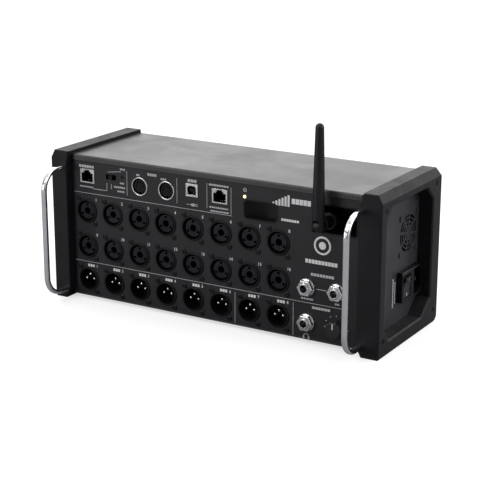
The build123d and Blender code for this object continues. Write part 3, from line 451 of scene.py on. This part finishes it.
class Print:
    """Marks of ink on a flat face. A point is (across, up) in millimetres, as the reader sees the face."""

    def __init__(self, to_face):
        self.shape = bmesh.new()
        self.to_face = to_face

    def outline(self, points):
        """Closed film of ink with the given corners."""
        levels = []
        for depth in (INK_T, -INK_SINK):
            levels.append([self.shape.verts.new(self.to_face(a, u, depth)) for a, u in points])
        front, back = levels
        self.shape.faces.new(front)
        self.shape.faces.new(list(reversed(back)))
        for i in range(len(points)):
            j = (i + 1) % len(points)
            self.shape.faces.new((front[i], back[i], back[j], front[j]))

    def bar(self, a0, a1, u0, u1):
        self.outline([(a0, u0), (a1, u0), (a1, u1), (a0, u1)])

    def line(self, start, end, width=LINE_W):
        """Straight stroke between two points."""
        way = (Vector(end) - Vector(start)).normalized()
        side = Vector((-way.y, way.x)) * width / 2
        corners = [Vector(start) - side, Vector(end) - side, Vector(end) + side, Vector(start) + side]
        self.outline([(c.x, c.y) for c in corners])

    def ring(self, centre, outer, inner, start=0.0, turn=360.0):
        """Ring or arc of ink, made of short strokes that meet."""
        count = max(6, round(abs(turn) / 10))
        for i in range(count):
            a0 = math.radians(start + turn * i / count)
            a1 = math.radians(start + turn * (i + 1) / count)
            corners = [(outer, a0), (outer, a1), (inner, a1), (inner, a0)]
            self.outline([(centre[0] + r * math.cos(a), centre[1] + r * math.sin(a)) for r, a in corners])

    def dot(self, centre, radius):
        """Round spot of ink."""
        angles = [math.radians(30 * i) for i in range(12)]
        self.outline([(centre[0] + radius * math.cos(a), centre[1] + radius * math.sin(a)) for a in angles])

    def blocks(self, a0, a1, u, height, count):
        """Row of plain blocks that stands in for a word, from a0 to a1, centred on u."""
        pitch = (a1 - a0 + BLOCK_GAP) / count
        for i in range(count):
            left = a0 + i * pitch
            self.bar(left, left + pitch - BLOCK_GAP, u - height / 2, u + height / 2)

    def number(self, value, centre, height):
        """Figures of the number, from the built-in typeface, as flat ink."""
        curve = bpy.data.curves.new("figures", "FONT")
        curve.body = str(value)
        curve.align_x = "CENTER"
        curve.align_y = "CENTER"
        curve.size = height / 0.72
        curve.offset = 0.02 * height
        curve.extrude = (INK_T + INK_SINK) / 2
        curve.resolution_u = 4
        holder = bpy.data.objects.new("figures", curve)
        bpy.context.scene.collection.objects.link(holder)
        bpy.context.view_layer.update()
        figures = bpy.data.meshes.new_from_object(holder)
        for vertex in figures.vertices:
            x, y, z = vertex.co
            depth = z + (INK_T - INK_SINK) / 2
            vertex.co = self.to_face(centre[0] + x, centre[1] + y, depth)
        self.shape.from_mesh(figures)
        bpy.data.objects.remove(holder)
        bpy.data.curves.remove(curve)
        bpy.data.meshes.remove(figures)

    def piece(self, name, finish, body):
        """Turns the marks into one named piece that rides on the body."""
        bmesh.ops.recalc_face_normals(self.shape, faces=self.shape.faces)
        skin = bpy.data.meshes.new(name)
        self.shape.to_mesh(skin)
        self.shape.free()
        skin.materials.append(finish)
        made = bpy.data.objects.new(name, skin)
        bpy.context.scene.collection.objects.link(made)
        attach(made, body)
        return made


def on_panel(across, up, depth):
    """Front panel: across is X, up is Z, and ink stands towards the front."""
    return Vector((across, PANEL_Y - depth, up)) * MM


def on_right_side(across, up, depth):
    """Right side wall: across is Y, up is Z, and ink stands outwards."""
    return Vector((SIDE_X + depth, across, up)) * MM


# Short uprights of the panel, as (across, low, high): in the output row, then in the top strip
OUTPUT_UPRIGHTS = ((24.5, 5.0, 33.5), (82.2, 4.8, 34.4))
STRIP_UPRIGHTS = ((-88.0, 105.0, 127.5), (-34.7, 105.0, 127.5), (-3.7, 105.0, 127.5), (20.6, 102.5, 126.5))


def panel_rules(ink):
    """Long rules that divide the panel, and the short uprights between the groups of sockets."""
    marks = Print(on_panel)
    row_top = UPPER_ROW[0].z + 16.9
    row_out = OUTPUT_Z + 16.7
    marks.line((-147.3, row_top), (21.5, row_top), RULE_W)
    marks.line((-148.3, row_out), (128.5, row_out), RULE_W)
    for across, low, high in OUTPUT_UPRIGHTS + STRIP_UPRIGHTS:
        marks.line((across, low), (across, high), RULE_W)
    marks.line((LINE_LEFT.x + 9.2, LINE_LEFT.z), (LINE_RIGHT.x - 9.2, LINE_RIGHT.z), LINE_W)
    return marks.piece("panel_rules", ink, "chassis")


def channel_numbers(ink):
    """Input numbers, up and to the right of each combination socket."""
    marks = Print(on_panel)
    for i, jack in enumerate(UPPER_ROW + LOWER_ROW):
        marks.number(i + 1, (jack.x + 10.6, jack.z + 11.4), 2.7)
    return marks.piece("channel_numbers", ink, "chassis")


def output_legends(ink):
    """A short word and a number over each output socket."""
    marks = Print(on_panel)
    for i, jack in enumerate(UPPER_ROW):
        left = jack.x - 0.6
        marks.blocks(left, left + 7.4, OUTPUT_Z + 13.3, 2.5, 3)
        marks.number(i + 1, (left + 10.2, OUTPUT_Z + 13.3), 2.6)
    return marks.piece("output_legends", ink, "chassis")


def port_legends(ink):
    """Words, frame lines and the plug mark round the sockets of the top strip."""
    marks = Print(on_panel)
    marks.blocks(REMOTE.x - 9.0, REMOTE.x + 7.4, REMOTE.z + 8.7, 2.4, 6)
    marks.blocks(REMOTE.x - 8.6, REMOTE.x + 6.0, REMOTE.z - 10.2, 1.2, 7)
    marks.blocks(NETWORK.x - 10.9, NETWORK.x + 8.8, NETWORK.z + 9.2, 1.6, 8)
    marks.blocks(NETWORK.x - 10.6, NETWORK.x + 8.4, NETWORK.z - 10.6, 1.3, 9)
    marks.blocks(NETWORK.x - 9.6, NETWORK.x + 9.0, NETWORK.z - 13.9, 1.3, 7)
    marks.blocks(USB.x - 4.2, USB.x + 4.8, USB.z + 8.3, 2.6, 3)
    plug_mark(marks, (USB.x + 0.6, USB.z - 13.0))
    midi = middle("midi_rings")
    marks.blocks(midi.x - 5.6, midi.x + 3.9, midi.z + 12.2, 2.4, 4)
    marks.blocks(midi.x - 17.6, midi.x - 14.4, midi.z + 10.2, 1.8, 2)
    marks.blocks(midi.x + 8.4, midi.x + 14.2, midi.z + 9.8, 1.8, 3)
    switch_frame(marks)
    return marks.piece("port_legends", ink, "chassis")


def plug_mark(marks, centre):
    """Generic plug: a cable, a body and two prongs, lying on its side."""
    a, u = centre
    marks.line((a - 6.4, u), (a - 1.4, u), LINE_W)
    marks.outline([(a - 1.4, u - 1.2), (a + 2.0, u - 1.2), (a + 2.0, u + 1.2), (a - 1.4, u + 1.2)])
    for rise in (-0.6, 0.6):
        marks.line((a + 2.0, u + rise), (a + 5.2, u + rise), LINE_W)


def switch_frame(marks):
    """Bent leader lines and three short words beside the slide switch and the button."""
    marks.line((LEVER.x - 20.5, LEVER.z - 13.0), (LEVER.x - 4.8, LEVER.z - 12.9))
    marks.line((LEVER.x - 4.8, LEVER.z - 13.0), (LEVER.x - 4.7, LEVER.z - 5.8))
    marks.line((LEVER.x + 0.3, LEVER.z - 6.1), (LEVER.x + 0.2, LEVER.z - 10.7))
    marks.line((LEVER.x - 3.2, LEVER.z + 4.6), (RESET.x - 1.7, RESET.z + 5.0))
    marks.blocks(RESET.x - 2.7, RESET.x + 2.7, RESET.z + 7.2, 1.7, 4)
    marks.blocks(RESET.x - 3.1, RESET.x + 1.3, RESET.z - 5.7, 1.5, 3)
    marks.blocks(RESET.x - 9.7, RESET.x + 2.3, RESET.z - 9.7, 1.5, 6)
    marks.blocks(RESET.x - 6.0, RESET.x + 1.5, RESET.z - 13.4, 1.5, 4)


def light_mark(ink):
    """Power mark over the lamp: a broken ring and a stroke."""
    marks = Print(on_panel)
    centre = (LED.x + 0.2, LED.z + 5.8)
    marks.ring(centre, 1.7, 1.1, 125.0, 290.0)
    marks.line((centre[0], centre[1] + 0.1), (centre[0], centre[1] + 2.0), 0.6)
    return marks.piece("light_mark", ink, "chassis")


def level_bars(ink):
    """Generic ladder of level bars: a tall set that rises, then a low even set, and a short word below."""
    marks = Print(on_panel)
    left, low = 61.2, 117.2
    pitch, width = 2.9, 2.0
    shortest, rise = 2.4, 1.5
    for i in range(6):
        marks.bar(left + i * pitch, left + i * pitch + width, low, low + shortest + rise * i)
    marks.blocks(79.7, 97.7, 122.4, 4.6, 5)
    marks.blocks(69.9, 86.7, 105.3, 2.1, 7)
    return marks.piece("level_bars", ink, "chassis")


def ring_emblem(ink):
    """Plain emblem of a ring round a disc, with a row of blocks below it."""
    marks = Print(on_panel)
    centre = (109.1, 88.2)
    marks.ring(centre, 8.0, 6.3)
    marks.dot(centre, 3.4)
    marks.blocks(93.3, 123.3, 73.2, 3.4, 10)
    return marks.piece("ring_emblem", ink, "chassis")


def jack_legends(ink):
    """Words and small marks round the line jacks, the phones jack and the volume knob."""
    marks = Print(on_panel)
    marks.blocks(LINE_LEFT.x + 4.0, LINE_LEFT.x + 25.6, LINE_LEFT.z + 12.3, 2.4, 8)
    marks.blocks(LINE_LEFT.x - 5.0, LINE_LEFT.x + 6.4, LINE_LEFT.z - 10.0, 1.6, 5)
    marks.blocks(LINE_RIGHT.x - 1.4, LINE_RIGHT.x + 2.7, LINE_RIGHT.z - 10.2, 1.6, 2)
    marks.blocks(PHONES.x + 5.4, PHONES.x + 22.4, PHONES.z + 14.2, 2.2, 6)
    headphone_mark(marks, (PHONES.x, PHONES.z - 12.6))
    dial_r = 10.9
    for angle in range(-120, 121, 30):
        way = math.radians(90 - angle)
        marks.dot((VOLUME.x + dial_r * math.cos(way), VOLUME.z + dial_r * math.sin(way)), 0.5)
    return marks.piece("jack_legends", ink, "chassis")


def headphone_mark(marks, centre):
    """Generic headphones: a band and two pads."""
    a, u = centre
    marks.ring((a, u), 2.7, 2.2, 0.0, 180.0)
    for side in (-1, 1):
        marks.bar(a + side * 2.4 - 0.65, a + side * 2.4 + 0.65, u - 2.1, u + 0.4)


def knob_pointer(ink):
    """White pointer across the front of the knob."""
    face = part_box("volume_knob")[0].y / MM
    marks = Print(lambda across, up, depth: Vector((across, face - depth, up)) * MM)
    marks.bar(VOLUME.x - 0.45, VOLUME.x + 0.45, VOLUME.z + 1.2, VOLUME.z + 6.2)
    return marks.piece("knob_pointer", ink, "volume_knob")


# Rocker's face: how far it is tipped, its reach from the hinge, and where its ends start to lean out
ROCKER_TILT = math.radians(8)
ROCKER_FACE = 5.1
ROCKER_BEND = 4.5
ROCKER_LEAN = 0.17


def on_rocker(across, up, depth):
    """Rocker's hollow face, whose two ends lean outwards, tipped with the key about its hinge."""
    hinge = next(j for j in frame["record"]["behaviour"]["joints"] if j["name"] == "power_rock")
    reach = ROCKER_FACE + (abs(up) - ROCKER_BEND) * ROCKER_LEAN + depth
    out = reach * math.cos(ROCKER_TILT) + up * math.sin(ROCKER_TILT)
    rise = up * math.cos(ROCKER_TILT) - reach * math.sin(ROCKER_TILT)
    return Vector(hinge["pos_m"]) + Vector((out, across, rise)) * MM


def rocker_marks(ink):
    """Stroke and ring on the two ends of the power switch."""
    marks = Print(on_rocker)
    marks.bar(-0.25, 0.25, 5.4, 8.2)
    marks.ring((0.0, -6.8), 1.4, 0.9)
    return marks.piece("rocker_marks", ink, "power_rocker")


def side_label(ink):
    """Two upright lines of small blocks beside the power inlet, as the rating text runs."""
    marks = Print(on_right_side)
    for across, width, low, high, count in ((10.4, 2.0, 28.0, 53.5, 11), (14.2, 1.6, 31.0, 50.5, 9)):
        pitch = (high - low + BLOCK_GAP) / count
        for i in range(count):
            floor = low + i * pitch
            marks.bar(across - width / 2, across + width / 2, floor, floor + pitch - BLOCK_GAP)
    return marks.piece("side_label", ink, "chassis")


# ---------------------------------------------------------------- room and camera

ROOM_HALF = 6.0
FLOOR_GLOW = 0.62
FLOOR_BOUNCE = (0.25, 0.25, 0.26)
ROOM_FRONT = 0.28
ROOM_BACK = 2.1


def floor():
    """Pale floor that fills every view: a glowing sheet to look at, a darker one to what it lights."""
    shape = bmesh.new()
    corners = [(-1, -1), (1, -1), (1, 1), (-1, 1)]
    shape.faces.new([shape.verts.new((x * ROOM_HALF, y * ROOM_HALF, 0.0)) for x, y in corners])
    skin = bpy.data.meshes.new("studio_floor")
    shape.to_mesh(skin)
    shape.free()
    pale = Finish("studio_floor", Roughness=0.9, Specular_IOR_Level=0.0, Emission_Strength=FLOOR_GLOW)
    cloud = pale.group("mould_grain", Grain=40.0)["Patches"]
    seen = pale.tree.nodes.new("ShaderNodeLightPath").outputs["Is Camera Ray"]
    sheet = pale.mix(cloud, (0.44, 0.44, 0.44), (0.45, 0.45, 0.45))
    pale.feed("Base Color", pale.mix(seen, FLOOR_BOUNCE, sheet))
    pale.feed("Emission Color", pale.mix(seen, (0.0, 0.0, 0.0), (1.0, 1.0, 1.0)))
    skin.materials.append(pale.material)
    made = bpy.data.objects.new("studio_floor", skin)
    bpy.context.scene.collection.objects.link(made)


def room_light():
    """White room that is dim at the front and bright at the back."""
    world = bpy.data.worlds.new("studio_room")
    world.use_nodes = True
    tree = world.node_tree
    sky = tree.nodes["Background"]
    way = tree.nodes.new("ShaderNodeTexCoord").outputs["Generated"]
    parts = tree.nodes.new("ShaderNodeSeparateXYZ")
    tree.links.new(way, parts.inputs[0])
    back = add_range(tree, parts.outputs["Y"], -0.9, 0.9, ROOM_FRONT, ROOM_BACK)
    sky.inputs["Color"].default_value = (1.0, 1.0, 1.0, 1.0)
    tree.links.new(back, sky.inputs["Strength"])
    bpy.context.scene.world = world


def soft_box(name, place, aim, size, power):
    """Square soft box that faces a point."""
    lamp = bpy.data.lights.new(name, "AREA")
    lamp.shape = "SQUARE"
    lamp.size = size
    lamp.energy = power
    made = bpy.data.objects.new(name, lamp)
    made.location = place
    made.rotation_euler = (Vector(aim) - Vector(place)).to_track_quat("-Z", "Y").to_euler()
    bpy.context.scene.collection.objects.link(made)


# Soft boxes: place, the point that each faces, size and power
SOFT_BOXES = {
    "key_box": ((-0.6, -1.3, 1.5), (0.0, 0.0, 0.07), 1.0, 12.0),
    "low_box": ((-0.77, -1.29, 0.35), (0.0, 0.0, 0.07), 0.5, 6.5),
    "side_box": ((1.5, 0.1, 0.8), (0.1, 0.0, 0.07), 0.8, 8.5),
}

VIEW_TARGET = Vector((0.03, 13.5, 64.6)) * MM
VIEW_DISTANCE = 1.263
VIEW_TURN = math.radians(31.04)
VIEW_RISE = math.radians(16.26)
VIEW_LENS = 105.4


def camera():
    """Long lens from the front right, a little above the mixer."""
    lens = bpy.data.cameras.new("camera")
    lens.lens = VIEW_LENS
    lens.sensor_width = 36.0
    lens.clip_start = 0.05
    lens.clip_end = 50.0
    made = bpy.data.objects.new("camera", lens)
    flat = math.cos(VIEW_RISE)
    way = Vector((flat * math.sin(VIEW_TURN), -flat * math.cos(VIEW_TURN), math.sin(VIEW_RISE)))
    made.location = VIEW_TARGET + way * VIEW_DISTANCE
    made.rotation_euler = (-way).to_track_quat("-Z", "Y").to_euler()
    bpy.context.scene.collection.objects.link(made)
    bpy.context.scene.camera = made


def main():
    dress_packed_parts(build_finishes())
    white = printed_ink("white_ink", (0.62, 0.62, 0.63))
    grey = printed_ink("grey_ink", (0.40, 0.40, 0.41))
    panel_rules(grey)
    channel_numbers(white)
    output_legends(white)
    port_legends(grey)
    light_mark(grey)
    level_bars(white)
    ring_emblem(white)
    jack_legends(grey)
    knob_pointer(white)
    side_label(grey)
    rocker_marks(grey)
    floor()
    room_light()
    for name, settings in SOFT_BOXES.items():
        soft_box(name, *settings)
    camera()
    bpy.context.scene.view_settings.view_transform = "Standard"


main()
